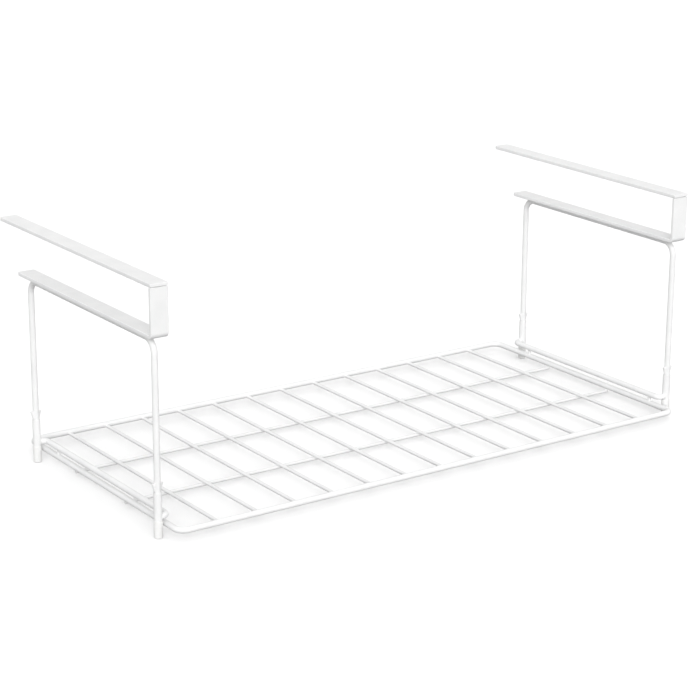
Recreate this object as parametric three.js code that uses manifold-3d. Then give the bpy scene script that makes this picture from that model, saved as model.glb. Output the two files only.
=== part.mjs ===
// Under-shelf hanging rack: a welded wire floor carried by two wire hangers, each with flat-bar
// arms that slip over the front edge of a shelf.
// Millimetres. X runs along the shelf edge, Y from the front to the back, Z up.
// The origin is under the middle of the rack, on the plane that its four leg caps stand on.
import * as THREE from 'three';
import { mergeVertices } from 'three/addons/utils/BufferGeometryUtils.js';
import Module from 'manifold-3d';

const wasm = await Module();
wasm.setup();

// Wire stock
const FRAME_WIRE = 5;
const GRID_WIRE = 3;
const FRAME_SIDES = 16;
const GRID_SIDES = 12;
const BEND_STEPS = 7;

// Legs: where the hanger wires stand
const LEG_SPACING = 199;
const LEG_OUTSET = 8.5; // leg axis outside the floor frame's side wire

// Floor
const FLOOR_WIDTH = 500; // over the frame wire
const FRONT_OVERHANG = 17.7; // front wire axis ahead of the front legs
const REAR_OVERHANG = 28.3; // rear wire axis behind the rear legs
const FLOOR_CORNER_RADIUS = 8; // to the wire's axis
const FLOOR_CLEARANCE = 3.5; // under the support wires
const CROSS_WIRES = 13;
const SUPPORT_SHIFT = 3; // support wires stand this far behind the thirds of the floor

// Side rails above the frame's side wires
const RAIL_GAP = 3;
const RAIL_BEND_RADIUS = 5;
const STUD_DIAMETER = 3;
const FRONT_STUD_SETBACK = 11.5; // from the front leg
const REAR_STUD_SETBACK = 21.5; // from the rear leg

// Leg caps, sleeves and the ears that stop the sleeves
const CAP_DIAMETER = 7;
const CAP_HEIGHT = 14;
const CAP_FLOOR = 2;
const CAP_CHAMFER = 0.7;
const SLEEVE_DIAMETER = 6.4;
const SLEEVE_LENGTH = 23;
const LEG_CLEARANCE = 0.2; // leg in its sleeve and cap, on the radius
const EAR_CLEARANCE = 0.1; // sleeve below the ears
const EAR_REACH = 2.4; // past the wire
const EAR_HEIGHT = 7;
const EAR_THICKNESS = 2;
const TURNED_SIDES = 24;

// Hangers and brackets
const OVERALL_HEIGHT = 200;
const HANGER_BEND_RADIUS = 11;
const BAR_WIDTH = 15;
const BAR_THICKNESS = 3;
const BAR_INSET = 1; // bar's middle inside the leg axis
const BAR_BEND_RADIUS = 1.5; // inside the bend
const BAR_EDGE = 0.4; // rounding along the bar
const WELD_BEVEL = 0.8; // on the strap's top, in front and behind
const STRAP_SEAT = 0.4; // how far the strap's top is let into the underside of the upper arm
const SHELF_GAP = 36.4;
const STRAP_LEAD = 7.5; // strap's front face ahead of the front legs
const LOWER_ARM_TAIL = 10; // lower arm's end behind the rear legs
const UPPER_ARM_TAIL = 38.7; // upper arm's end behind the rear legs

// Levels
const SUPPORT_Z = FLOOR_CLEARANCE + GRID_WIRE / 2;
const FLOOR_BOTTOM_Z = FLOOR_CLEARANCE + GRID_WIRE;
const FRAME_Z = FLOOR_BOTTOM_Z + FRAME_WIRE / 2;
const CROSS_Z = FLOOR_BOTTOM_Z + GRID_WIRE / 2;
const STUD_Z = FLOOR_BOTTOM_Z + FRAME_WIRE + RAIL_GAP / 2;
const RAIL_Z = FRAME_Z + FRAME_WIRE + RAIL_GAP;
const SLEEVE_TOP_Z = CAP_HEIGHT + SLEEVE_LENGTH;
const UPPER_ARM_BOTTOM_Z = OVERALL_HEIGHT - BAR_THICKNESS;
const STRAP_TOP_Z = UPPER_ARM_BOTTOM_Z + STRAP_SEAT;
const LOWER_ARM_TOP_Z = UPPER_ARM_BOTTOM_Z - SHELF_GAP;
const LOWER_ARM_BOTTOM_Z = LOWER_ARM_TOP_Z - BAR_THICKNESS;
const HANGER_Z = LOWER_ARM_BOTTOM_Z - FRAME_WIRE / 2;

// Plan positions: the depth runs from the floor's front wire to the ends of the upper arms
const FRONT_LEG_Y = (FRONT_OVERHANG + FRAME_WIRE / 2 - LEG_SPACING - UPPER_ARM_TAIL) / 2;
const REAR_LEG_Y = FRONT_LEG_Y + LEG_SPACING;
const FLOOR_FRONT_Y = FRONT_LEG_Y - FRONT_OVERHANG;
const FLOOR_REAR_Y = REAR_LEG_Y + REAR_OVERHANG;
const FLOOR_MIDDLE_Y = (FLOOR_FRONT_Y + FLOOR_REAR_Y) / 2;
const STRAP_FRONT_Y = FRONT_LEG_Y - STRAP_LEAD;
const STRAP_BACK_Y = STRAP_FRONT_Y + BAR_THICKNESS;
const SIDE_X = (FLOOR_WIDTH - FRAME_WIRE) / 2;
const LEG_X = SIDE_X + LEG_OUTSET;

const SIDES = [
  { name: 'left', sign: -1 },
  { name: 'right', sign: 1 },
];
const LEGS = [
  { name: 'front', y: FRONT_LEG_Y, studY: FRONT_LEG_Y + FRONT_STUD_SETBACK },
  { name: 'rear', y: REAR_LEG_Y, studY: REAR_LEG_Y - REAR_STUD_SETBACK },
];

// A path of straight lengths with round bends, sampled at the ends of the straights and along
// the bends.
class BentPath extends THREE.Curve {
  constructor(corners, bendRadius) {
    super();
    this.stations = [];
    const last = corners.length - 1;
    const direction = (i) => corners[i + 1].clone().sub(corners[i]).normalize();
    this.stations.push({ point: corners[0], tangent: direction(0) });
    for (let i = 1; i < last; i++) this.addBend(corners[i], direction(i - 1), direction(i), bendRadius);
    this.stations.push({ point: corners[last], tangent: direction(last - 1) });
  }

  addBend(corner, arriving, leaving, radius) {
    const angle = arriving.angleTo(leaving);
    const inward = leaving.clone().addScaledVector(arriving, -leaving.dot(arriving)).normalize();
    const start = corner.clone().addScaledVector(arriving, -radius * Math.tan(angle / 2));
    const centre = start.clone().addScaledVector(inward, radius);
    for (let i = 0; i <= BEND_STEPS; i++) {
      const turn = (angle * i) / BEND_STEPS;
      const along = arriving.clone().multiplyScalar(Math.sin(turn));
      const point = centre.clone().addScaledVector(along.addScaledVector(inward, -Math.cos(turn)), radius);
      const tangent = arriving.clone().multiplyScalar(Math.cos(turn));
      tangent.addScaledVector(inward, Math.sin(turn));
      this.stations.push({ point, tangent });
    }
  }

  station(u) {
    return this.stations[Math.round(u * (this.stations.length - 1))];
  }

  getPointAt(u, target = new THREE.Vector3()) {
    return target.copy(this.station(u).point);
  }

  getTangentAt(u, target = new THREE.Vector3()) {
    return target.copy(this.station(u).tangent);
  }
}

// Corner radius of a regular section whose flats lie a given radius from the axis, one of them on top.
const cornerRadius = (radius, sides) => radius / Math.cos(Math.PI / sides);

function wireSection(diameter, sides) {
  const radius = cornerRadius(diameter / 2, sides);
  const points = Array.from({ length: sides }, (_, i) => {
    const angle = ((i + 0.5) * 2 * Math.PI) / sides;
    return new THREE.Vector2(radius * Math.cos(angle), radius * Math.sin(angle));
  });
  return new THREE.Shape(points);
}

function bentWire(corners, bendRadius) {
  const extrudePath = new BentPath(corners, bendRadius);
  const steps = extrudePath.stations.length - 1;
  return new THREE.ExtrudeGeometry(wireSection(FRAME_WIRE, FRAME_SIDES), { steps, extrudePath });
}

// A round bar along Y with a flat of its section on top.
function straightWire(diameter, length, sides) {
  const radius = cornerRadius(diameter / 2, sides);
  return new THREE.CylinderGeometry(radius, radius, length, sides, 1, false, Math.PI / sides);
}

// A profile of radius and height pairs turned about Z, with a flat of its section across X.
function turned(profile) {
  const corner = ([radius, height]) => new THREE.Vector2(cornerRadius(radius, TURNED_SIDES), height);
  const points = profile.map(corner);
  const geometry = new THREE.LatheGeometry(points, TURNED_SIDES, Math.PI / TURNED_SIDES);
  return geometry.rotateX(Math.PI / 2);
}

function solid(geometry) {
  const bare = geometry.clone();
  bare.deleteAttribute('normal');
  bare.deleteAttribute('uv');
  const merged = mergeVertices(bare);
  const vertProperties = new Float32Array(merged.getAttribute('position').array);
  const triVerts = new Uint32Array(merged.index.array);
  return new wasm.Manifold(new wasm.Mesh({ numProp: 3, vertProperties, triVerts }));
}

function joined(...geometries) {
  const whole = geometries.map(solid).reduce((sum, piece) => sum.add(piece));
  const { vertProperties, triVerts } = whole.getMesh();
  const geometry = new THREE.BufferGeometry();
  geometry.setAttribute('position', new THREE.BufferAttribute(vertProperties, 3));
  geometry.setIndex(new THREE.BufferAttribute(triVerts, 1));
  geometry.computeVertexNormals();
  return geometry;
}

const at = (x, y, z) => new THREE.Vector3(x, y, z);

// The rounded rectangle round the floor: a front half and a rear half welded in the middle of
// the sides.
function floorFrame() {
  const half = (y) => bentWire(
    [
      at(-SIDE_X, FLOOR_MIDDLE_Y, FRAME_Z),
      at(-SIDE_X, y, FRAME_Z),
      at(SIDE_X, y, FRAME_Z),
      at(SIDE_X, FLOOR_MIDDLE_Y, FRAME_Z),
    ],
    FLOOR_CORNER_RADIUS,
  );
  return joined(half(FLOOR_FRONT_Y), half(FLOOR_REAR_Y));
}

// The rail from sleeve to sleeve: its ends turn outwards and meet the sleeves square.
function sideRail(sign) {
  const railX = sign * SIDE_X;
  const sleeveX = sign * (LEG_X - SLEEVE_DIAMETER / 2);
  return bentWire(
    [
      at(sleeveX, FRONT_LEG_Y, RAIL_Z),
      at(railX, FRONT_LEG_Y, RAIL_Z),
      at(railX, REAR_LEG_Y, RAIL_Z),
      at(sleeveX, REAR_LEG_Y, RAIL_Z),
    ],
    RAIL_BEND_RADIUS,
  );
}

// Two ears pressed out of a leg: level on top and tapering down to the wire.
function ears(x, y) {
  const wire = FRAME_WIRE / 2;
  const bottom = SLEEVE_TOP_Z + EAR_CLEARANCE;
  const outline = new THREE.Shape();
  outline.moveTo(-wire, bottom);
  outline.lineTo(wire, bottom);
  outline.lineTo(wire + EAR_REACH, bottom + EAR_HEIGHT);
  outline.lineTo(-wire - EAR_REACH, bottom + EAR_HEIGHT);
  const geometry = new THREE.ExtrudeGeometry(outline, { depth: EAR_THICKNESS, bevelEnabled: false });
  return geometry.rotateX(Math.PI / 2).translate(x, y + EAR_THICKNESS / 2, 0);
}

// An upside-down U of wire: two legs with ears and the length that lies under the bracket.
function hangerWire(sign) {
  const x = sign * LEG_X;
  const wire = bentWire(
    [
      at(x, FRONT_LEG_Y, CAP_FLOOR),
      at(x, FRONT_LEG_Y, HANGER_Z),
      at(x, REAR_LEG_Y, HANGER_Z),
      at(x, REAR_LEG_Y, CAP_FLOOR),
    ],
    HANGER_BEND_RADIUS,
  );
  return joined(wire, ...LEGS.map((leg) => ears(x, leg.y)));
}

// Flat bar from its outline seen from the side, as wide as the stock and with rounded edges.
function flatBar(outline, sign) {
  const geometry = new THREE.ExtrudeGeometry(outline, {
    depth: BAR_WIDTH - 2 * BAR_EDGE,
    curveSegments: BEND_STEPS,
    bevelThickness: BAR_EDGE,
    bevelSize: BAR_EDGE,
    bevelOffset: -BAR_EDGE,
    bevelSegments: 2,
  });
  geometry.translate(0, 0, BAR_EDGE - BAR_WIDTH / 2);
  geometry.applyMatrix4(new THREE.Matrix4().makeBasis(at(0, 1, 0), at(0, 0, 1), at(1, 0, 0)));
  return geometry.translate(sign * (LEG_X - BAR_INSET), 0, 0);
}

// The straight arm that lies on the shelf, with a seat for the strap's top under its front end.
function upperArm(sign) {
  const end = REAR_LEG_Y + UPPER_ARM_TAIL;
  const outline = new THREE.Shape();
  outline.moveTo(STRAP_FRONT_Y, STRAP_TOP_Z);
  outline.lineTo(STRAP_BACK_Y, STRAP_TOP_Z);
  outline.lineTo(STRAP_BACK_Y, UPPER_ARM_BOTTOM_Z);
  outline.lineTo(end, UPPER_ARM_BOTTOM_Z);
  outline.lineTo(end, OVERALL_HEIGHT);
  outline.lineTo(STRAP_FRONT_Y, OVERALL_HEIGHT);
  return flatBar(outline, sign);
}

// The strap at the shelf's front edge and the arm under the shelf, bent from one bar.
function shelfBracket(sign) {
  const inner = BAR_BEND_RADIUS;
  const outer = BAR_BEND_RADIUS + BAR_THICKNESS;
  const bend = STRAP_FRONT_Y + outer;
  const end = REAR_LEG_Y + LOWER_ARM_TAIL;
  const outline = new THREE.Shape();
  outline.moveTo(STRAP_BACK_Y, STRAP_TOP_Z - WELD_BEVEL);
  outline.lineTo(STRAP_BACK_Y - WELD_BEVEL, STRAP_TOP_Z);
  outline.lineTo(STRAP_FRONT_Y + WELD_BEVEL, STRAP_TOP_Z);
  outline.lineTo(STRAP_FRONT_Y, STRAP_TOP_Z - WELD_BEVEL);
  outline.absarc(bend, LOWER_ARM_BOTTOM_Z + outer, outer, Math.PI, 1.5 * Math.PI, false);
  outline.lineTo(end, LOWER_ARM_BOTTOM_Z);
  outline.lineTo(end, LOWER_ARM_TOP_Z);
  outline.absarc(bend, LOWER_ARM_TOP_Z + inner, inner, 1.5 * Math.PI, Math.PI, true);
  return flatBar(outline, sign);
}

function legSleeve() {
  const bore = FRAME_WIRE / 2 + LEG_CLEARANCE;
  const outside = SLEEVE_DIAMETER / 2;
  return turned([
    [bore, CAP_HEIGHT],
    [outside, CAP_HEIGHT],
    [outside, SLEEVE_TOP_Z],
    [bore, SLEEVE_TOP_Z],
    [bore, CAP_HEIGHT],
  ]);
}

function legCap() {
  const bore = FRAME_WIRE / 2 + LEG_CLEARANCE;
  const outside = CAP_DIAMETER / 2;
  return turned([
    [0, 0],
    [outside - CAP_CHAMFER, 0],
    [outside, CAP_CHAMFER],
    [outside, CAP_HEIGHT],
    [bore, CAP_HEIGHT],
    [bore, CAP_FLOOR],
    [0, CAP_FLOOR],
  ]);
}

const coatedSteel = () => new THREE.MeshStandardMaterial({ color: 0xf1f1ef, roughness: 0.42, metalness: 0 });
const whitePlastic = () => new THREE.MeshStandardMaterial({ color: 0xeeeeea, roughness: 0.6, metalness: 0 });

const rack = new THREE.Group();

function addPiece(name, geometry, material = coatedSteel()) {
  const mesh = new THREE.Mesh(geometry, material);
  mesh.name = name;
  rack.add(mesh);
  return mesh;
}

addPiece('floor_frame', floorFrame());

// Cross wires run from the front wire to the rear wire, evenly between the side wires.
const crossLength = FLOOR_REAR_Y - FLOOR_FRONT_Y - FRAME_WIRE;
const crossPitch = (2 * SIDE_X) / (CROSS_WIRES + 1);
for (let i = 1; i <= CROSS_WIRES; i++) {
  const name = `cross_wire_${String(i).padStart(2, '0')}`;
  const wire = addPiece(name, straightWire(GRID_WIRE, crossLength, GRID_SIDES));
  wire.position.set(crossPitch * i - SIDE_X, FLOOR_MIDDLE_Y, CROSS_Z);
}

// Support wires run under the cross wires, from the middle of one side wire to that of the other.
const thirdOfFloor = (FLOOR_REAR_Y - FLOOR_FRONT_Y) / 3;
LEGS.forEach((leg, i) => {
  const wire = addPiece(`support_wire_${leg.name}`, straightWire(GRID_WIRE, 2 * SIDE_X, GRID_SIDES));
  wire.rotation.z = Math.PI / 2;
  wire.position.set(0, FLOOR_FRONT_Y + thirdOfFloor * (i + 1) + SUPPORT_SHIFT, SUPPORT_Z);
});

for (const side of SIDES) {
  addPiece(`side_rail_${side.name}`, sideRail(side.sign));
  addPiece(`hanger_wire_${side.name}`, hangerWire(side.sign));
  addPiece(`upper_arm_${side.name}`, upperArm(side.sign));
  addPiece(`shelf_bracket_${side.name}`, shelfBracket(side.sign));
  for (const leg of LEGS) {
    const corner = `${side.name}_${leg.name}`;
    const stud = addPiece(`rail_stud_${corner}`, straightWire(STUD_DIAMETER, RAIL_GAP, GRID_SIDES));
    stud.rotation.x = Math.PI / 2;
    stud.position.set(side.sign * SIDE_X, leg.studY, STUD_Z);
    addPiece(`leg_sleeve_${corner}`, legSleeve()).position.set(side.sign * LEG_X, leg.y, 0);
    addPiece(`leg_cap_${corner}`, legCap(), whitePlastic()).position.set(side.sign * LEG_X, leg.y, 0);
  }
}

export default rack;
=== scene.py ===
"""White wire rack that hangs on a shelf: wire floor, hangers with ears, flat-bar brackets and caps."""

import math

import bmesh
import bpy
from mathutils import Matrix, Vector


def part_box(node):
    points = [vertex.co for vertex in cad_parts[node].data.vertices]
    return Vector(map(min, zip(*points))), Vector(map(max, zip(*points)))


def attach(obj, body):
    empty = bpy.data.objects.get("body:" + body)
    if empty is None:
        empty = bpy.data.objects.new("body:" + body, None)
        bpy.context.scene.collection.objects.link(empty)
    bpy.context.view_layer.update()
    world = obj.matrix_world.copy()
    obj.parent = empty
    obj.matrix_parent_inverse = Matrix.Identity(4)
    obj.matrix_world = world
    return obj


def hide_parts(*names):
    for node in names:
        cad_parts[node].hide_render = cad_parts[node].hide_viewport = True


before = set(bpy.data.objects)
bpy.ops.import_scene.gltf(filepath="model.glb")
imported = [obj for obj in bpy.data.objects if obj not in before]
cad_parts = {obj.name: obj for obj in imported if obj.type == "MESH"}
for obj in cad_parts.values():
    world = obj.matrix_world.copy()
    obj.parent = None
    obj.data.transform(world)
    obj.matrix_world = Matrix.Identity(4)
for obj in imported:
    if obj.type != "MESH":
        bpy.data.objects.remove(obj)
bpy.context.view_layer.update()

X = Vector((1, 0, 0))
Y = Vector((0, 1, 0))
Z = Vector((0, 0, 1))
MM = 0.001
QUARTER = math.pi / 2

# Bends and bars: sizes that a box of the frame doesn't show
FRAME_CORNER = 8 * MM  # bends, to the wire's axis
RAIL_CORNER = 5 * MM
HANGER_CORNER = 11 * MM
WIRE_END_ROUNDING = 0.6 * MM
BAR_THICKNESS = 3 * MM
BAR_CORNER = 3 * MM  # bend, to the middle of the bar
BAR_EDGE = 0.6 * MM
BAR_END_CORNER = 2 * MM
BAR_END_DEGREES = (0, 15, 30, 45, 56, 66, 75, 83, 90)  # steps round a corner of the bar's end
CUT_EDGE_LENGTH = 0.6 * MM
CUT_EDGE_INSET = 0.3 * MM
CUT_EDGE_SHARES = (1.0, 0.5, 0.2, 0.05, 0.0)  # steps back from the cut, in lengths of its edge
SEAM_HEIGHT = 0.7 * MM  # open seam between the strap and the upper arm
SEAM_DEPTH = 1.1 * MM
SEAM_ROUNDING = 0.15 * MM

# Pressed ears
EAR_HEIGHT = 7 * MM
EAR_HALF_THICKNESS = 1 * MM
EAR_CLEARANCE = 0.1 * MM
EAR_TAPER = (0.12, 0.25, 0.4, 0.55, 0.7, 0.85)  # steps up the taper, as shares of its height
# Rise from the ear's top and inset from its tip, round the top edge
EAR_EDGE = ((-0.4 * MM, 0.02 * MM), (-0.15 * MM, 0.0), (-0.03 * MM, 0.15 * MM), (0.0, 0.4 * MM))
# Rise from the ear's top and half width in wire radii, where the ear ends and plain wire goes on
EAR_END = ((0.05 * MM, 1.04), (0.2 * MM, 0.0), (1.2 * MM, 0.0))
EAR_CROWDING = 0.35  # how far the section's points draw together at the wings
WING_POWER = 5  # squareness of the wing
BLEND_POWER = 10  # sharpness of the join between wing and wire

# Sleeves and caps
BORE_GAP = 0.2 * MM
SLEEVE_EDGE = 0.22 * MM
SLEEVE_BORE_EDGE = 0.12 * MM
CAP_TAPER = 0.12 * MM
CAP_STRAIGHT = 1.6 * MM  # height of the wall above the taper
CAP_FLOOR = 2 * MM
CAP_FOOT_EDGE = 0.9 * MM
CAP_RIM = 0.35 * MM
CAP_BORE_RIM = 0.15 * MM
GATE_MARK = ((0.9 * MM, 0.25 * MM), (1.1 * MM, 0.05 * MM), (1.35 * MM, 0.0))  # radius and depth

# Welds
FLOOR_WELD = 0.9 * MM
STUD_FLARE = 0.8 * MM
SLEEVE_WELD = 1.1 * MM
WELD_FADE = 0.9 * MM  # distance from the main wire's flank within which a weld thins out
WELD_LEAST = 0.02  # share of its size that is left at the flank
WELD_LIMIT = 0.985  # how far round the main wire it may reach, in radii
WELD_TIP = 0.5  # depth of a weld's hidden tip, in radii of the main wire
CROSSING_REACH = 1.3 * MM
CROSSING_WAIST = 0.9
CROSSING_TIP = 0.6
NUGGET_REACH = 1.2 * MM
NUGGET_HALF_HEIGHT = 0.8 * MM
NUGGET_INSET = 0.9 * MM
NUGGET_DROP = 0.2 * MM
BEAD_SHARES = (0.1, 0.5, 0.9)  # places of the beads along a hanger's level length
BEAD_LENGTH = 14 * MM
BEAD_RIPPLE = 0.07
BEAD_PITCH = 1.6  # turn of the ripple from ring to ring
BEAD_ON_BAR = (0.9, 1.7)  # millimetres at the ends, and how many more in the middle
BEAD_ON_WIRE = (0.8, 1.35)
BEAD_BELLY = 0.12
BEAD_CORE = 0.2 * MM  # hidden inner edge
BEAD_DEPTH = 0.3 * MM  # hidden depth in bar and wire
BEAD_HIDDEN_SHARE = 0.8
SINK = 0.04 * MM  # how far a joining surface runs into its neighbour

# Studio
SWEEP_MIDDLE = 1.0
SWEEP_RADIUS = 10
SWEEP_RISE = 6
FLOOR_GLOW = 0.09
WALL_GLOW = 0.6
SKY_ABOVE = 0.84
SKY_BELOW = 0.36
HORIZON = 0.15  # half height of the sky's change from dark to light
FRONT_LIGHT = 2.2
RIGHT_LIGHT = 0.4
FRONT_FROM = Vector((-0.50, -0.76, 0.41))
RIGHT_FROM = Vector((0.85, -0.50, 0.15))
LIGHT_ANGLE = math.radians(50)
CAMERA_PLACE = Vector((-0.98857, -1.41247, 0.61085))
CAMERA_AZIMUTH = math.radians(-34.814)
CAMERA_ELEVATION = math.radians(17.256)
CAMERA_ROLL = math.radians(0.311)
CAMERA_LENS = 109.87
CAMERA_SENSOR = 36

# Fineness
WIRE_SIDES = 36
EAR_SIDES = 48
GRID_SIDES = 24
TURNED_SIDES = 40
SWEEP_SIDES = 64
WELD_SIDES = 24
BEND_STEPS = 14
ROUND_STEPS = 4
BAR_EDGE_STEPS = 5
CAP_FOOT_STEPS = 6
WELD_STEPS = 5
NUGGET_STEPS = 6
BEAD_RINGS = 33
BEAD_STEPS = 4
SWEEP_STEPS = 12


def middle(node):
    lowest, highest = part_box(node)
    return (lowest + highest) / 2


def extent(node):
    lowest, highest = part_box(node)
    return highest - lowest


# Layout, read from the frame
frame_low, frame_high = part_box("floor_frame")
sleeve_low, sleeve_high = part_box("leg_sleeve_right_front")
bracket_low, bracket_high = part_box("shelf_bracket_right")
hanger_low, hanger_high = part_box("hanger_wire_right")
CROSS_WIRES = sorted(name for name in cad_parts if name.startswith("cross_wire_"))
SUPPORT_WIRES = ("support_wire_front", "support_wire_rear")
WIRE = (frame_high.z - frame_low.z) / 2
GRID = extent("cross_wire_01").x / 2
FRAME_Z = frame_high.z - WIRE
SIDE_X = frame_high.x - WIRE
FRONT_Y = frame_low.y + WIRE
REAR_Y = frame_high.y - WIRE
RAIL_Z = middle("side_rail_right").z
LEG_X = middle("leg_cap_right_front").x
LEG_Y = {"front": middle("leg_cap_right_front").y, "rear": middle("leg_cap_right_rear").y}
SLEEVE = (sleeve_high.x - sleeve_low.x) / 2
BORE = WIRE + BORE_GAP
HANGER_Z = hanger_high.z - WIRE
EAR_REACH = (hanger_high.x - hanger_low.x) / 2
SIDES = {"left": -1, "right": 1}


def turns(sides):
    return [2 * math.pi * i / sides for i in range(sides)]


def circle(radius, sides):
    return [(radius * math.cos(a), radius * math.sin(a)) for a in turns(sides)]


def bent(corners, radius, closed=False):
    """Points and directions along straight lengths with a round bend of one radius at each corner."""
    count = len(corners)
    path = []
    if not closed:
        path.append((corners[0], (corners[1] - corners[0]).normalized()))
    for i in range(count) if closed else range(1, count - 1):
        arriving = (corners[i] - corners[i - 1]).normalized()
        leaving = (corners[(i + 1) % count] - corners[i]).normalized()
        angle = arriving.angle(leaving)
        inward = (leaving - arriving * leaving.dot(arriving)).normalized()
        centre = corners[i] - arriving * radius * math.tan(angle / 2) + inward * radius
        for step in range(BEND_STEPS + 1):
            turn = angle * step / BEND_STEPS
            point = centre + (arriving * math.sin(turn) - inward * math.cos(turn)) * radius
            path.append((point, arriving * math.cos(turn) + inward * math.sin(turn)))
    if not closed:
        path.append((corners[-1], (corners[-1] - corners[-2]).normalized()))
    return path


def curve(first, handle, last, t):
    """A point on a curve that leaves first and reaches last, drawn towards a handle."""
    return first * (1 - t) ** 2 + handle * 2 * t * (1 - t) + last * t * t


def ring(point, direction, across, section):
    """A section drawn square to a direction. Its first axis lies across."""
    up = direction.cross(across)
    return [point + across * a + up * b for a, b in section]


class Shape:
    """A closed mesh gathered from skins of rings."""

    def __init__(self):
        self.points = []
        self.faces = []

    def skin(self, rings, closed=False, tips=(None, None)):
        """Joins rings of equal length. Each open end is closed by a face, or by a fan to a tip."""
        size = len(rings[0])
        first = len(self.points)
        for points in rings:
            self.points.extend(points)
        for i in range(len(rings) if closed else len(rings) - 1):
            a = first + i * size
            b = first + (i + 1) % len(rings) * size
            for k in range(size):
                n = (k + 1) % size
                self.faces.append((a + k, a + n, b + n, b + k))
        if closed:
            return
        for tip, start in zip(tips, (first, first + (len(rings) - 1) * size)):
            if tip is None:
                self.faces.append(tuple(range(start, start + size)))
                continue
            self.points.append(tip)
            for k in range(size):
                self.faces.append((start + k, start + (k + 1) % size, len(self.points) - 1))

    def piece(self, name, material, slot, nodes=(), flat_sides=False):
        """Makes the mesh an object, smooth but for its end faces, which stay flat."""
        mesh = bpy.data.meshes.new(name)
        mesh.from_pydata(self.points, [], self.faces)
        work = bmesh.new()
        work.from_mesh(mesh)
        bmesh.ops.recalc_face_normals(work, faces=work.faces)
        for face in work.faces:
            face.smooth = len(face.verts) <= 4
            if not face.smooth:
                for edge in face.edges:
                    edge.smooth = False
        work.to_mesh(mesh)
        work.free()
        piece = bpy.data.objects.new(name, mesh)
        bpy.context.scene.collection.objects.link(piece)
        mesh.materials.append(material)
        if flat_sides:
            piece.modifiers.new("even_normals", "WEIGHTED_NORMAL")
        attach(piece, "root")
        if nodes:
            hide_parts(*nodes)


class Nodes:
    """A small helper that lays out a material's nodes."""

    def __init__(self, name):
        self.material = bpy.data.materials.new(name)
        self.material.use_nodes = True
        self.tree = self.material.node_tree
        self.shader = self.tree.nodes["Principled BSDF"]
        self.place = self.add("ShaderNodeTexCoord").outputs["Object"]
        self.normal = None

    def add(self, kind, **inputs):
        node = self.tree.nodes.new(kind)
        for name, value in inputs.items():
            node.inputs[name].default_value = value
        return node

    def link(self, output, socket):
        self.tree.links.new(output, socket)

    def noise(self, scale, detail):
        node = self.add("ShaderNodeTexNoise", Scale=scale, Detail=detail)
        self.link(self.place, node.inputs["Vector"])
        return node.outputs["Fac"]

    def colours(self, value, low, high, dark, light):
        node = self.add("ShaderNodeValToRGB")
        node.color_ramp.elements[0].position = low
        node.color_ramp.elements[1].position = high
        node.color_ramp.elements[0].color = (*dark, 1)
        node.color_ramp.elements[1].color = (*light, 1)
        self.link(value, node.inputs["Fac"])
        self.link(node.outputs["Color"], self.shader.inputs["Base Color"])

    def gloss(self, value, smooth, rough, low=0.3, high=0.7):
        node = self.add("ShaderNodeMapRange")
        node.inputs["From Min"].default_value = low
        node.inputs["From Max"].default_value = high
        node.inputs["To Min"].default_value = smooth
        node.inputs["To Max"].default_value = rough
        self.link(value, node.inputs["Value"])
        self.link(node.outputs["Result"], self.shader.inputs["Roughness"])

    def bump(self, height, strength, depth):
        """Adds a layer of height over the layers before it. The finest comes first."""
        node = self.add("ShaderNodeBump", Strength=strength, Distance=depth)
        self.link(height, node.inputs["Height"])
        if self.normal is not None:
            self.link(self.normal, node.inputs["Normal"])
        self.normal = node.outputs["Normal"]
        self.link(self.normal, self.shader.inputs["Normal"])


def powder_coat():
    """Satin white powder coat: faint orange peel over a finer grain, uneven in tone and gloss."""
    nodes = Nodes("white_powder_coat")
    cloud = nodes.noise(scale=55, detail=4)
    nodes.colours(cloud, low=0.35, high=0.65, dark=(0.755, 0.757, 0.757), light=(0.795, 0.795, 0.793))
    nodes.gloss(nodes.noise(scale=140, detail=3), smooth=0.34, rough=0.46)
    nodes.bump(nodes.noise(scale=5000, detail=1), strength=0.40, depth=0.02 * MM)
    nodes.bump(nodes.noise(scale=700, detail=2), strength=0.70, depth=0.23 * MM)
    return nodes.material


def coated_weld():
    """The same coat over a weld, where it lies thicker and pools."""
    nodes = Nodes("white_coat_on_weld")
    cloud = nodes.noise(scale=180, detail=4)
    nodes.colours(cloud, low=0.3, high=0.7, dark=(0.74, 0.741, 0.74), light=(0.79, 0.79, 0.787))
    nodes.gloss(nodes.noise(scale=300, detail=3), smooth=0.30, rough=0.44)
    nodes.bump(nodes.noise(scale=4500, detail=1), strength=0.40, depth=0.02 * MM)
    nodes.bump(nodes.noise(scale=1000, detail=3), strength=0.70, depth=0.25 * MM)
    return nodes.material


def cap_plastic():
    """Soft white moulded plastic with a spark-eroded skin."""
    nodes = Nodes("white_cap_plastic")
    cloud = nodes.noise(scale=260, detail=3)
    nodes.colours(cloud, low=0.35, high=0.65, dark=(0.775, 0.775, 0.765), light=(0.805, 0.805, 0.797))
    nodes.gloss(nodes.noise(scale=700, detail=2), smooth=0.50, rough=0.62)
    nodes.bump(nodes.noise(scale=3800, detail=2), strength=0.60, depth=0.06 * MM)
    nodes.bump(nodes.noise(scale=420, detail=2), strength=0.20, depth=0.10 * MM)
    nodes.shader.inputs["Subsurface Weight"].default_value = 0.06
    nodes.shader.inputs["Subsurface Radius"].default_value = (0.001, 0.001, 0.0009)
    return nodes.material


COAT = powder_coat()
WELD = coated_weld()
CAP = cap_plastic()
STEEL_SLOT = "coated_steel"
CAP_SLOT = "cap_plastic"


def saddle(offset, radius):
    """How far a round surface stands out from its axis, at an offset to the side."""
    return math.sqrt(max(0.0, radius * radius - offset * offset))


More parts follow.
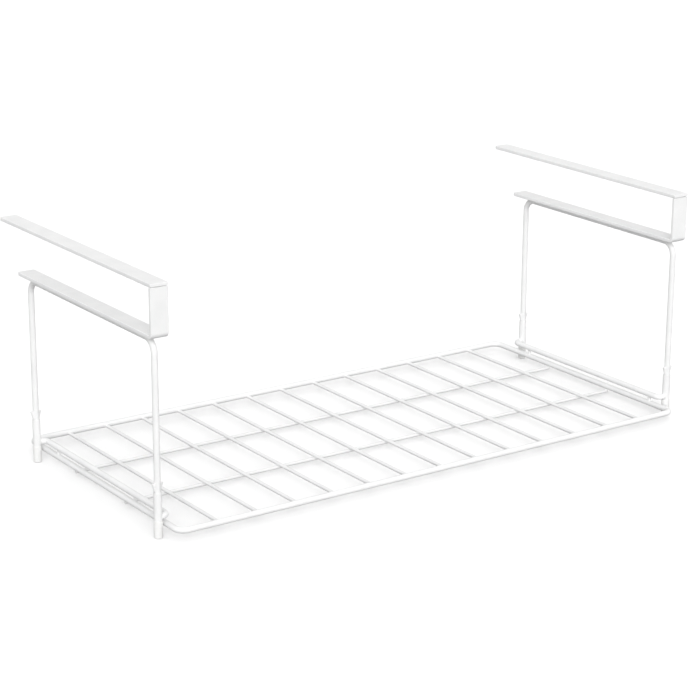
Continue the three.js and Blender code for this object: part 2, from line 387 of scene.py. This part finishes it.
def floor_frame():
    plan = ((-SIDE_X, FRONT_Y), (SIDE_X, FRONT_Y), (SIDE_X, REAR_Y), (-SIDE_X, REAR_Y))
    corners = [Vector((x, y, FRAME_Z)) for x, y in plan]
    path = bent(corners, FRAME_CORNER, closed=True)
    section = circle(WIRE, WIRE_SIDES)
    shape = Shape()
    shape.skin([ring(point, direction, Z, section) for point, direction in path], closed=True)
    shape.piece("floor_frame_wire", COAT, STEEL_SLOT, ["floor_frame"])


def cross_wires():
    """Straight wires whose ends are shaped to the round of the front and rear wires."""
    for name in CROSS_WIRES:
        centre = middle(name)
        ends = []
        for axis_y, inward in ((FRONT_Y, 1), (REAR_Y, -1)):
            end = []
            for a, b in circle(GRID, GRID_SIDES):
                reach = saddle(centre.z + b - FRAME_Z, WIRE) - SINK
                end.append(Vector((centre.x + a, axis_y + inward * reach, centre.z + b)))
            ends.append(end)
        shape = Shape()
        shape.skin(ends)
        shape.piece(name + "_coated", COAT, STEEL_SLOT, [name])


def support_wires():
    """Wires from side to side, with rounded cut ends."""
    profile = []
    for step in range(ROUND_STEPS + 1):
        angle = step * QUARTER / ROUND_STEPS
        back = WIRE_END_ROUNDING * (1 - math.cos(angle))
        profile.append((back, GRID - WIRE_END_ROUNDING * (1 - math.sin(angle))))
    # One more ring keeps the rounding out of the long wire's shading
    profile.append((2 * GRID, GRID))
    for name in SUPPORT_WIRES:
        low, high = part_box(name)
        axis = middle(name)
        ends = []
        for x, inward in ((low.x, 1), (high.x, -1)):
            places = [(Vector((x + inward * back, axis.y, axis.z)), radius) for back, radius in profile]
            ends.append([ring(place, X, Y, circle(radius, GRID_SIDES)) for place, radius in places])
        shape = Shape()
        shape.skin(ends[0] + ends[1][::-1])
        shape.piece(name + "_coated", COAT, STEEL_SLOT, [name])


def side_rails():
    """Rails whose turned-out ends are shaped to the round of the leg sleeves."""
    end_x = LEG_X - SLEEVE
    plan = ((end_x, "front"), (SIDE_X, "front"), (SIDE_X, "rear"), (end_x, "rear"))
    section = circle(WIRE, WIRE_SIDES)
    for side, sign in SIDES.items():
        corners = [Vector((sign * x, LEG_Y[leg], RAIL_Z)) for x, leg in plan]
        path = bent(corners, RAIL_CORNER)
        rings = [ring(point, direction, Z, section) for point, direction in path]
        for end, leg in ((rings[0], "front"), (rings[-1], "rear")):
            for point in end:
                point.x = sign * (LEG_X - saddle(point.y - LEG_Y[leg], SLEEVE) + SINK)
        shape = Shape()
        shape.skin(rings)
        shape.piece(f"side_rail_{side}_coated", COAT, STEEL_SLOT, [f"side_rail_{side}"])


def ear_section(half_width):
    """A wire with a thin wing pressed out on both sides, run together smoothly."""
    section = []
    for even in turns(EAR_SIDES):
        angle = even - EAR_CROWDING * math.sin(2 * even)
        c, s = math.cos(angle), math.sin(angle)
        radius = WIRE
        if half_width > WIRE:
            wide = abs(c / half_width) ** WING_POWER
            thin = abs(s / EAR_HALF_THICKNESS) ** WING_POWER
            wing = (wide + thin) ** (-1 / WING_POWER)
            radius = (WIRE ** BLEND_POWER + wing ** BLEND_POWER) ** (1 / BLEND_POWER)
        section.append((radius * c, radius * s))
    return section


def leg_rings(x, y, down):
    """Rings of one leg: a plain end in its cap, ears that taper out to a level top, and plain wire."""
    bottom = sleeve_high.z + EAR_CLEARANCE
    top = bottom + EAR_HEIGHT
    reach = EAR_REACH - WIRE
    plan = [(hanger_low.z, 0.0), (bottom, 0.0)]
    plan += [(bottom + EAR_HEIGHT * share, WIRE + reach * share) for share in EAR_TAPER]
    plan += [(top + rise, EAR_REACH - inset) for rise, inset in EAR_EDGE]
    plan += [(top + rise, WIRE * width) for rise, width in EAR_END]
    direction = -Z if down else Z
    rings = [ring(Vector((x, y, z)), direction, X, ear_section(width)) for z, width in plan]
    return rings[::-1] if down else rings


def hanger_wires():
    """Upside-down wires with two legs each. The straight lengths end in the rings of the legs."""
    front, rear = LEG_Y["front"], LEG_Y["rear"]
    plan = ((front, sleeve_high.z), (front, HANGER_Z), (rear, HANGER_Z), (rear, sleeve_high.z))
    section = ear_section(0.0)
    for side, sign in SIDES.items():
        x = sign * LEG_X
        bends = bent([Vector((x, y, z)) for y, z in plan], HANGER_CORNER)[1:-1]
        rings = leg_rings(x, front, False)
        rings += [ring(point, direction, X, section) for point, direction in bends]
        rings += leg_rings(x, rear, True)
        shape = Shape()
        shape.skin(rings)
        shape.piece(f"hanger_wire_{side}_coated", COAT, STEEL_SLOT, [f"hanger_wire_{side}"])


def bar_section(half_width, half_thickness):
    """A flat bar with rounded edges."""
    section = []
    for sa, sb, start in ((1, 1, 0), (-1, 1, 1), (-1, -1, 2), (1, -1, 3)):
        for step in range(BAR_EDGE_STEPS + 1):
            angle = (start + step / BAR_EDGE_STEPS) * QUARTER
            a = sa * (half_width - BAR_EDGE) + BAR_EDGE * math.cos(angle)
            b = sb * (half_thickness - BAR_EDGE) + BAR_EDGE * math.sin(angle)
            section.append((a, b))
    return section


def edge_inset(back):
    """How far a bar's cut edge draws in, at a distance back from its end."""
    share = max(0.0, 1 - back / CUT_EDGE_LENGTH)
    return CUT_EDGE_INSET * (1 - math.sqrt(1 - share * share))


def cut_end(point, outward, half_width, half_thickness):
    """Places and half sizes of a bar's cut end, from inside to the tip, with a rounded edge all round."""
    places = []
    for share in CUT_EDGE_SHARES:
        back = CUT_EDGE_LENGTH * share
        inset = edge_inset(back)
        places.append((point - outward * back, half_width - inset, half_thickness - inset))
    return places


def rounded_end(point, outward, half_width, half_thickness):
    """The same for an end whose corners are rounded in plan."""
    places = []
    for degrees in BAR_END_DEGREES:
        angle = math.radians(degrees)
        back = BAR_END_CORNER * (1 - math.sin(angle))
        narrow = BAR_END_CORNER * (1 - math.cos(angle))
        places.append((point - outward * back, half_width - narrow, half_thickness - edge_inset(back)))
    return places


def bar_rings(places, direction):
    return [ring(point, direction, X, bar_section(width, thick)) for point, width, thick in places]


def upper_arms():
    """Straight flat bars that lie on the shelf, each with a seat for the strap under its front end."""
    for side in SIDES:
        name = f"upper_arm_{side}"
        low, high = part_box(name)
        x, level = middle(name).x, middle(name).z
        half_width, half = extent(name).x / 2, extent(name).z / 2
        lip_half = (high.z - bracket_high.z) / 2
        lip_level = bracket_high.z + lip_half
        seat_end = low.y + BAR_THICKNESS
        places = cut_end(Vector((x, low.y, lip_level)), -Y, half_width, lip_half)[::-1]
        places.append((Vector((x, seat_end, lip_level)), half_width, lip_half))
        places.append((Vector((x, seat_end + half - lip_half, level)), half_width, half))
        places += rounded_end(Vector((x, high.y, level)), Y, half_width, half)
        shape = Shape()
        shape.skin(bar_rings(places, Y))
        shape.piece(name + "_coated", COAT, STEEL_SLOT, [name], flat_sides=True)


def strap_top(point, half_width, half):
    """The strap's upper end: a shoulder in front and on both sides leaves an open seam under the arm."""
    tongue = (half_width - SEAM_DEPTH, half - SEAM_DEPTH / 2)
    back = Y * SEAM_DEPTH / 2
    shoulder = point - Z * SEAM_HEIGHT
    return [
        (shoulder - Z * SEAM_ROUNDING, half_width, half),
        (shoulder + Y * SEAM_ROUNDING / 2, half_width - SEAM_ROUNDING, half - SEAM_ROUNDING / 2),
        (shoulder + back + Z * SEAM_ROUNDING, *tongue),
        (point + back, *tongue),
    ]


def shelf_brackets():
    """The strap down the shelf's front edge and the arm under the shelf, bent from one bar."""
    half_width = (bracket_high.x - bracket_low.x) / 2
    half = BAR_THICKNESS / 2
    lower_z = bracket_low.z + half
    strap_y = bracket_low.y + half
    section = bar_section(half_width, half)
    for side in SIDES:
        name = f"shelf_bracket_{side}"
        x = middle(name).x
        top = Vector((x, strap_y, bracket_high.z))
        tail = Vector((x, bracket_high.y, lower_z))
        path = bent([top, Vector((x, strap_y, lower_z)), tail], BAR_CORNER)[1:-1]
        rings = bar_rings(strap_top(top, half_width, half)[::-1], -Z)
        rings += [ring(point, direction, X, section) for point, direction in path]
        rings += bar_rings(rounded_end(tail, Y, half_width, half), Y)
        shape = Shape()
        shape.skin(rings)
        shape.piece(name + "_coated", COAT, STEEL_SLOT, [name], flat_sides=True)


def turned(profile, x, y, sides=TURNED_SIDES):
    """Rings of a profile of radius and height pairs turned about an upright axis."""
    rings = []
    for radius, z in profile:
        rings.append([Vector((x + a, y + b, z)) for a, b in circle(radius, sides)])
    return rings


def rounded_rim(radius, z, rounding, outward, upward, steps=ROUND_STEPS):
    """Profile points round an edge between a wall and a level face."""
    points = []
    for step in range(steps + 1):
        angle = step * QUARTER / steps
        inset = rounding * (1 - math.cos(angle))
        drop = rounding * (1 - math.sin(angle))
        points.append((radius - outward * inset, z - upward * drop))
    return points


def leg_sleeves():
    for side, sign in SIDES.items():
        for leg, y in LEG_Y.items():
            name = f"leg_sleeve_{side}_{leg}"
            low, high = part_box(name)
            profile = rounded_rim(SLEEVE, low.z, SLEEVE_EDGE, 1, -1)[::-1]
            profile += rounded_rim(SLEEVE, high.z, SLEEVE_EDGE, 1, 1)
            profile += rounded_rim(BORE, high.z, SLEEVE_BORE_EDGE, -1, 1)[::-1]
            profile.append((BORE, low.z))
            shape = Shape()
            shape.skin(turned(profile, sign * LEG_X, y), closed=True)
            shape.piece(name + "_coated", COAT, STEEL_SLOT, [name], flat_sides=True)


def leg_caps():
    """Moulded caps: a rounded foot with a shallow gate mark, slightly tapered walls and a rounded rim."""
    for side, sign in SIDES.items():
        for leg, y in LEG_Y.items():
            name = f"leg_cap_{side}_{leg}"
            low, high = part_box(name)
            outside = (high.x - low.x) / 2
            foot = outside - CAP_TAPER
            profile = [(radius, low.z + depth) for radius, depth in GATE_MARK]
            profile += rounded_rim(foot, low.z, CAP_FOOT_EDGE, 1, -1, CAP_FOOT_STEPS)[::-1]
            profile.append((outside, high.z - CAP_STRAIGHT))
            profile += rounded_rim(outside, high.z, CAP_RIM, 1, 1)
            profile += rounded_rim(BORE, high.z, CAP_BORE_RIM, -1, 1)[::-1]
            profile.append((BORE, low.z + CAP_FLOOR))
            axis = Vector((sign * LEG_X, y, 0))
            tips = (axis + Z * profile[0][1], axis + Z * profile[-1][1])
            shape = Shape()
            shape.skin(turned(profile, axis.x, axis.y), tips=tips)
            shape.piece(name + "_moulded", CAP, CAP_SLOT, [name], flat_sides=True)


def tee_rings(place, branch, along, branch_radius, main_radius, shift, size):
    """Rings of a weld round a wire that stands on another, from the branch down to the main wire.

    place is on the main wire's axis, branch points away from it, along is the main wire's direction and
    shift is how far the branch's axis lies to the side of the main wire's."""
    across = branch.cross(along)
    slim = (branch_radius - SINK) / branch_radius
    limit = WELD_LIMIT * main_radius
    rings = [[] for _ in range(WELD_STEPS + 1)]
    for u, v in circle(branch_radius, WELD_SIDES):
        s = v + shift
        f = size * min(1.0, max(WELD_LEAST, (main_radius - abs(s)) / WELD_FADE))
        root = Vector((u, s, saddle(s, main_radius)))
        high = Vector((u * slim, shift + (s - shift) * slim, root.z + f))
        wide = (branch_radius + f) / branch_radius
        far = max(-limit, min(limit, shift + (s - shift) * wide))
        low = Vector((u * wide, far, saddle(far, main_radius) - SINK))
        for step, points in enumerate(rings):
            p = curve(high, root, low, step / WELD_STEPS)
            points.append(place + along * p.x + across * p.y + branch * p.z)
    return rings


def add_tee(shape, place, branch, along, branch_radius, main_radius, shift, size):
    rings = tee_rings(place, branch, along, branch_radius, main_radius, shift, size)
    inside = place + branch.cross(along) * shift
    tips = (inside + branch * (main_radius + size), inside + branch * main_radius * WELD_TIP)
    shape.skin(rings, tips=tips)


def add_crossing(shape, contact, upper_axis, upper_radius, lower_axis, lower_radius, reach):
    """A weld between two crossed wires that touch: a waisted ring that runs out on both."""
    rings = [[] for _ in range(WELD_STEPS + 1)]
    for a in turns(WELD_SIDES):
        d = X * math.cos(a) + Y * math.sin(a)
        above = upper_radius - saddle(d.cross(upper_axis).length * reach, upper_radius) + SINK
        below = saddle(d.cross(lower_axis).length * reach, lower_radius) - lower_radius - SINK
        for step, points in enumerate(rings):
            t = step / WELD_STEPS
            waist = 1 - CROSSING_WAIST * t * (1 - t)
            points.append(contact + d * reach * waist + Z * (above * (1 - t) + below * t))
    tips = (contact + Z * upper_radius * CROSSING_TIP, contact - Z * lower_radius * CROSSING_TIP)
    shape.skin(rings, tips=tips)


def add_nugget(shape, centre, reach, half_height):
    """A small round weld at the end of a wire."""
    rings = []
    for step in range(1, NUGGET_STEPS):
        a = step * math.pi / NUGGET_STEPS
        level = centre - Z * half_height * math.cos(a)
        rings.append([level + X * p + Y * q for p, q in circle(reach * math.sin(a), WELD_SIDES)])
    shape.skin(rings, tips=(centre - Z * half_height, centre + Z * half_height))


def floor_welds():
    shape = Shape()
    supports = [middle(name) for name in SUPPORT_WIRES]
    contact_z = FRAME_Z - WIRE
    for name in CROSS_WIRES:
        centre = middle(name)
        shift = centre.z - FRAME_Z
        front = Vector((centre.x, FRONT_Y, FRAME_Z))
        rear = Vector((centre.x, REAR_Y, FRAME_Z))
        add_tee(shape, front, Y, -X, GRID, WIRE, shift, FLOOR_WELD)
        add_tee(shape, rear, -Y, X, GRID, WIRE, shift, FLOOR_WELD)
        for support in supports:
            contact = Vector((centre.x, support.y, contact_z))
            add_crossing(shape, contact, Y, GRID, X, GRID, CROSSING_REACH)
    for support in supports:
        for sign in SIDES.values():
            centre = Vector((sign * (SIDE_X - NUGGET_INSET), support.y, contact_z - NUGGET_DROP))
            add_nugget(shape, centre, NUGGET_REACH, NUGGET_HALF_HEIGHT)
    shape.piece("floor_welds", WELD, STEEL_SLOT)


def rail_studs():
    """Short posts between the frame's side wires and the rails, flared into both."""
    for side in SIDES:
        for leg in LEG_Y:
            name = f"rail_stud_{side}_{leg}"
            centre = middle(name)
            radius = extent(name).x / 2
            foot = Vector((centre.x, centre.y, FRAME_Z))
            head = Vector((centre.x, centre.y, RAIL_Z))
            lower = tee_rings(foot, Z, Y, radius, WIRE, 0.0, STUD_FLARE)
            upper = tee_rings(head, -Z, Y, radius, WIRE, 0.0, STUD_FLARE)
            # The upper rings run the other way round
            upper = [[points[-k] for k in range(WELD_SIDES)] for points in upper]
            axis = Vector((centre.x, centre.y, 0))
            tips = (axis + Z * (FRAME_Z + WIRE * WELD_TIP), axis + Z * (RAIL_Z - WIRE * WELD_TIP))
            shape = Shape()
            shape.skin(lower[::-1] + upper, tips=tips)
            shape.piece(name + "_coated", COAT, STEEL_SLOT, [name])


def sleeve_welds():
    shape = Shape()
    for sign in SIDES.values():
        for y in LEG_Y.values():
            place = Vector((sign * LEG_X, y, RAIL_Z))
            add_tee(shape, place, X * -sign, Z, WIRE, SLEEVE, 0.0, SLEEVE_WELD)
    shape.piece("sleeve_welds", WELD, STEEL_SLOT)


def bead_rings(x, y, length, side):
    """Rings of a rippled weld in the corner between a hanger wire and the bar above it."""
    level = HANGER_Z + WIRE
    rings = []
    for i in range(BEAD_RINGS):
        t = 2 * i / (BEAD_RINGS - 1) - 1
        swell = math.sqrt(max(0.0, 1 - t * t)) * (1 + BEAD_RIPPLE * math.sin(i * BEAD_PITCH))
        on_bar = (BEAD_ON_BAR[0] + BEAD_ON_BAR[1] * swell) * MM
        on_wire = (BEAD_ON_WIRE[0] + BEAD_ON_WIRE[1] * swell) * MM
        drop = WIRE - saddle(on_wire, WIRE)
        upper = Vector((on_bar, 0, SINK))
        lower = Vector((on_wire - SINK, 0, -drop))
        belly = (upper + lower) / 2 + Vector((BEAD_BELLY, 0, -BEAD_BELLY)) * MM * swell
        section = [
            Vector((BEAD_CORE, 0, -BEAD_DEPTH)),
            Vector((BEAD_CORE, 0, BEAD_DEPTH)),
            Vector((on_bar * BEAD_HIDDEN_SHARE, 0, BEAD_DEPTH)),
        ]
        section += [curve(upper, belly, lower, step / BEAD_STEPS) for step in range(BEAD_STEPS + 1)]
        rings.append([Vector((x + side * p.x, y + t * length / 2, level + p.z)) for p in section])
    return rings


def bracket_welds():
    shape = Shape()
    front, rear = LEG_Y["front"] + HANGER_CORNER, LEG_Y["rear"] - HANGER_CORNER
    for sign in SIDES.values():
        for share in BEAD_SHARES:
            for side in (-1, 1):
                y = front + (rear - front) * share
                shape.skin(bead_rings(sign * LEG_X, y, BEAD_LENGTH, side))
    shape.piece("bracket_welds", WELD, STEEL_SLOT)


floor_frame()
cross_wires()
support_wires()
side_rails()
rail_studs()
hanger_wires()
upper_arms()
shelf_brackets()
leg_sleeves()
leg_caps()
floor_welds()
sleeve_welds()
bracket_welds()


def sweep_material():
    """Plain white that glows a little, more up the wall than on the floor."""
    nodes = Nodes("white_sweep")
    cloud = nodes.noise(scale=3, detail=2)
    nodes.colours(cloud, low=0.3, high=0.7, dark=(0.895, 0.895, 0.895), light=(0.905, 0.905, 0.905))
    nodes.gloss(nodes.noise(scale=12, detail=2), smooth=0.6, rough=0.7)
    nodes.shader.inputs["Emission Color"].default_value = (1, 1, 1, 1)
    height = nodes.add("ShaderNodeSeparateXYZ")
    glow = nodes.add("ShaderNodeMapRange")
    glow.inputs["To Min"].default_value = FLOOR_GLOW
    glow.inputs["To Max"].default_value = WALL_GLOW
    nodes.link(nodes.place, height.inputs["Vector"])
    nodes.link(height.outputs["Z"], glow.inputs["Value"])
    nodes.link(glow.outputs["Result"], nodes.shader.inputs["Emission Strength"])
    return nodes.material


def sweep():
    """A white floor that rises into a wall all round, far away. It throws no light back."""
    profile = [(SWEEP_MIDDLE, 0.0), (SWEEP_RADIUS, 0.0)]
    for step in range(1, SWEEP_STEPS + 1):
        a = step * QUARTER / SWEEP_STEPS
        profile.append((SWEEP_RADIUS + SWEEP_RISE * math.sin(a), SWEEP_RISE * (1 - math.cos(a))))
    rings = turned(profile, 0, 0, SWEEP_SIDES)
    points = [point for points in rings for point in points]
    faces = [tuple(range(SWEEP_SIDES))]
    for i in range(len(rings) - 1):
        a = i * SWEEP_SIDES
        b = a + SWEEP_SIDES
        for k in range(SWEEP_SIDES):
            n = (k + 1) % SWEEP_SIDES
            faces.append((a + k, a + n, b + n, b + k))
    mesh = bpy.data.meshes.new("studio_sweep")
    mesh.from_pydata(points, [], faces)
    mesh.materials.append(sweep_material())
    backdrop = bpy.data.objects.new("studio_sweep", mesh)
    backdrop.visible_diffuse = False
    backdrop.visible_glossy = False
    backdrop.visible_shadow = False
    bpy.context.scene.collection.objects.link(backdrop)


def broad_light(name, energy, source):
    data = bpy.data.lights.new(name, "SUN")
    data.energy = energy
    data.angle = LIGHT_ANGLE
    lamp = bpy.data.objects.new(name, data)
    lamp.rotation_mode = "QUATERNION"
    lamp.rotation_quaternion = source.to_track_quat("Z", "Y")
    bpy.context.scene.collection.objects.link(lamp)


def sky():
    """Even light from above the horizon and little from below it."""
    world = bpy.data.worlds.new("studio_sky")
    world.use_nodes = True
    tree = world.node_tree
    place = tree.nodes.new("ShaderNodeTexCoord")
    parts = tree.nodes.new("ShaderNodeSeparateXYZ")
    ramp = tree.nodes.new("ShaderNodeMapRange")
    ramp.inputs["From Min"].default_value = -HORIZON
    ramp.inputs["From Max"].default_value = HORIZON
    ramp.inputs["To Min"].default_value = SKY_BELOW
    ramp.inputs["To Max"].default_value = SKY_ABOVE
    backdrop = tree.nodes["Background"]
    backdrop.inputs["Color"].default_value = (1, 1, 1, 1)
    tree.links.new(place.outputs["Generated"], parts.inputs["Vector"])
    tree.links.new(parts.outputs["Z"], ramp.inputs["Value"])
    tree.links.new(ramp.outputs["Result"], backdrop.inputs["Strength"])
    bpy.context.scene.world = world


def camera():
    """A camera at the photograph's viewing angle."""
    flat = math.cos(CAMERA_ELEVATION)
    level = Vector((math.cos(CAMERA_AZIMUTH), math.sin(CAMERA_AZIMUTH), 0))
    back = Vector((level.y * flat, -level.x * flat, math.sin(CAMERA_ELEVATION)))
    upright = back.cross(level)
    right = level * math.cos(CAMERA_ROLL) + upright * math.sin(CAMERA_ROLL)
    up = upright * math.cos(CAMERA_ROLL) - level * math.sin(CAMERA_ROLL)
    turn = Matrix((right, up, back)).transposed().to_4x4()
    data = bpy.data.cameras.new("camera")
    data.lens = CAMERA_LENS
    data.sensor_width = CAMERA_SENSOR
    seat = bpy.data.objects.new("camera", data)
    seat.matrix_world = Matrix.Translation(CAMERA_PLACE) @ turn
    bpy.context.scene.collection.objects.link(seat)
    bpy.context.scene.camera = seat


sweep()
sky()
broad_light("front_light", FRONT_LIGHT, FRONT_FROM)
broad_light("right_light", RIGHT_LIGHT, RIGHT_FROM)
bpy.context.scene.view_settings.view_transform = "Standard"
camera()
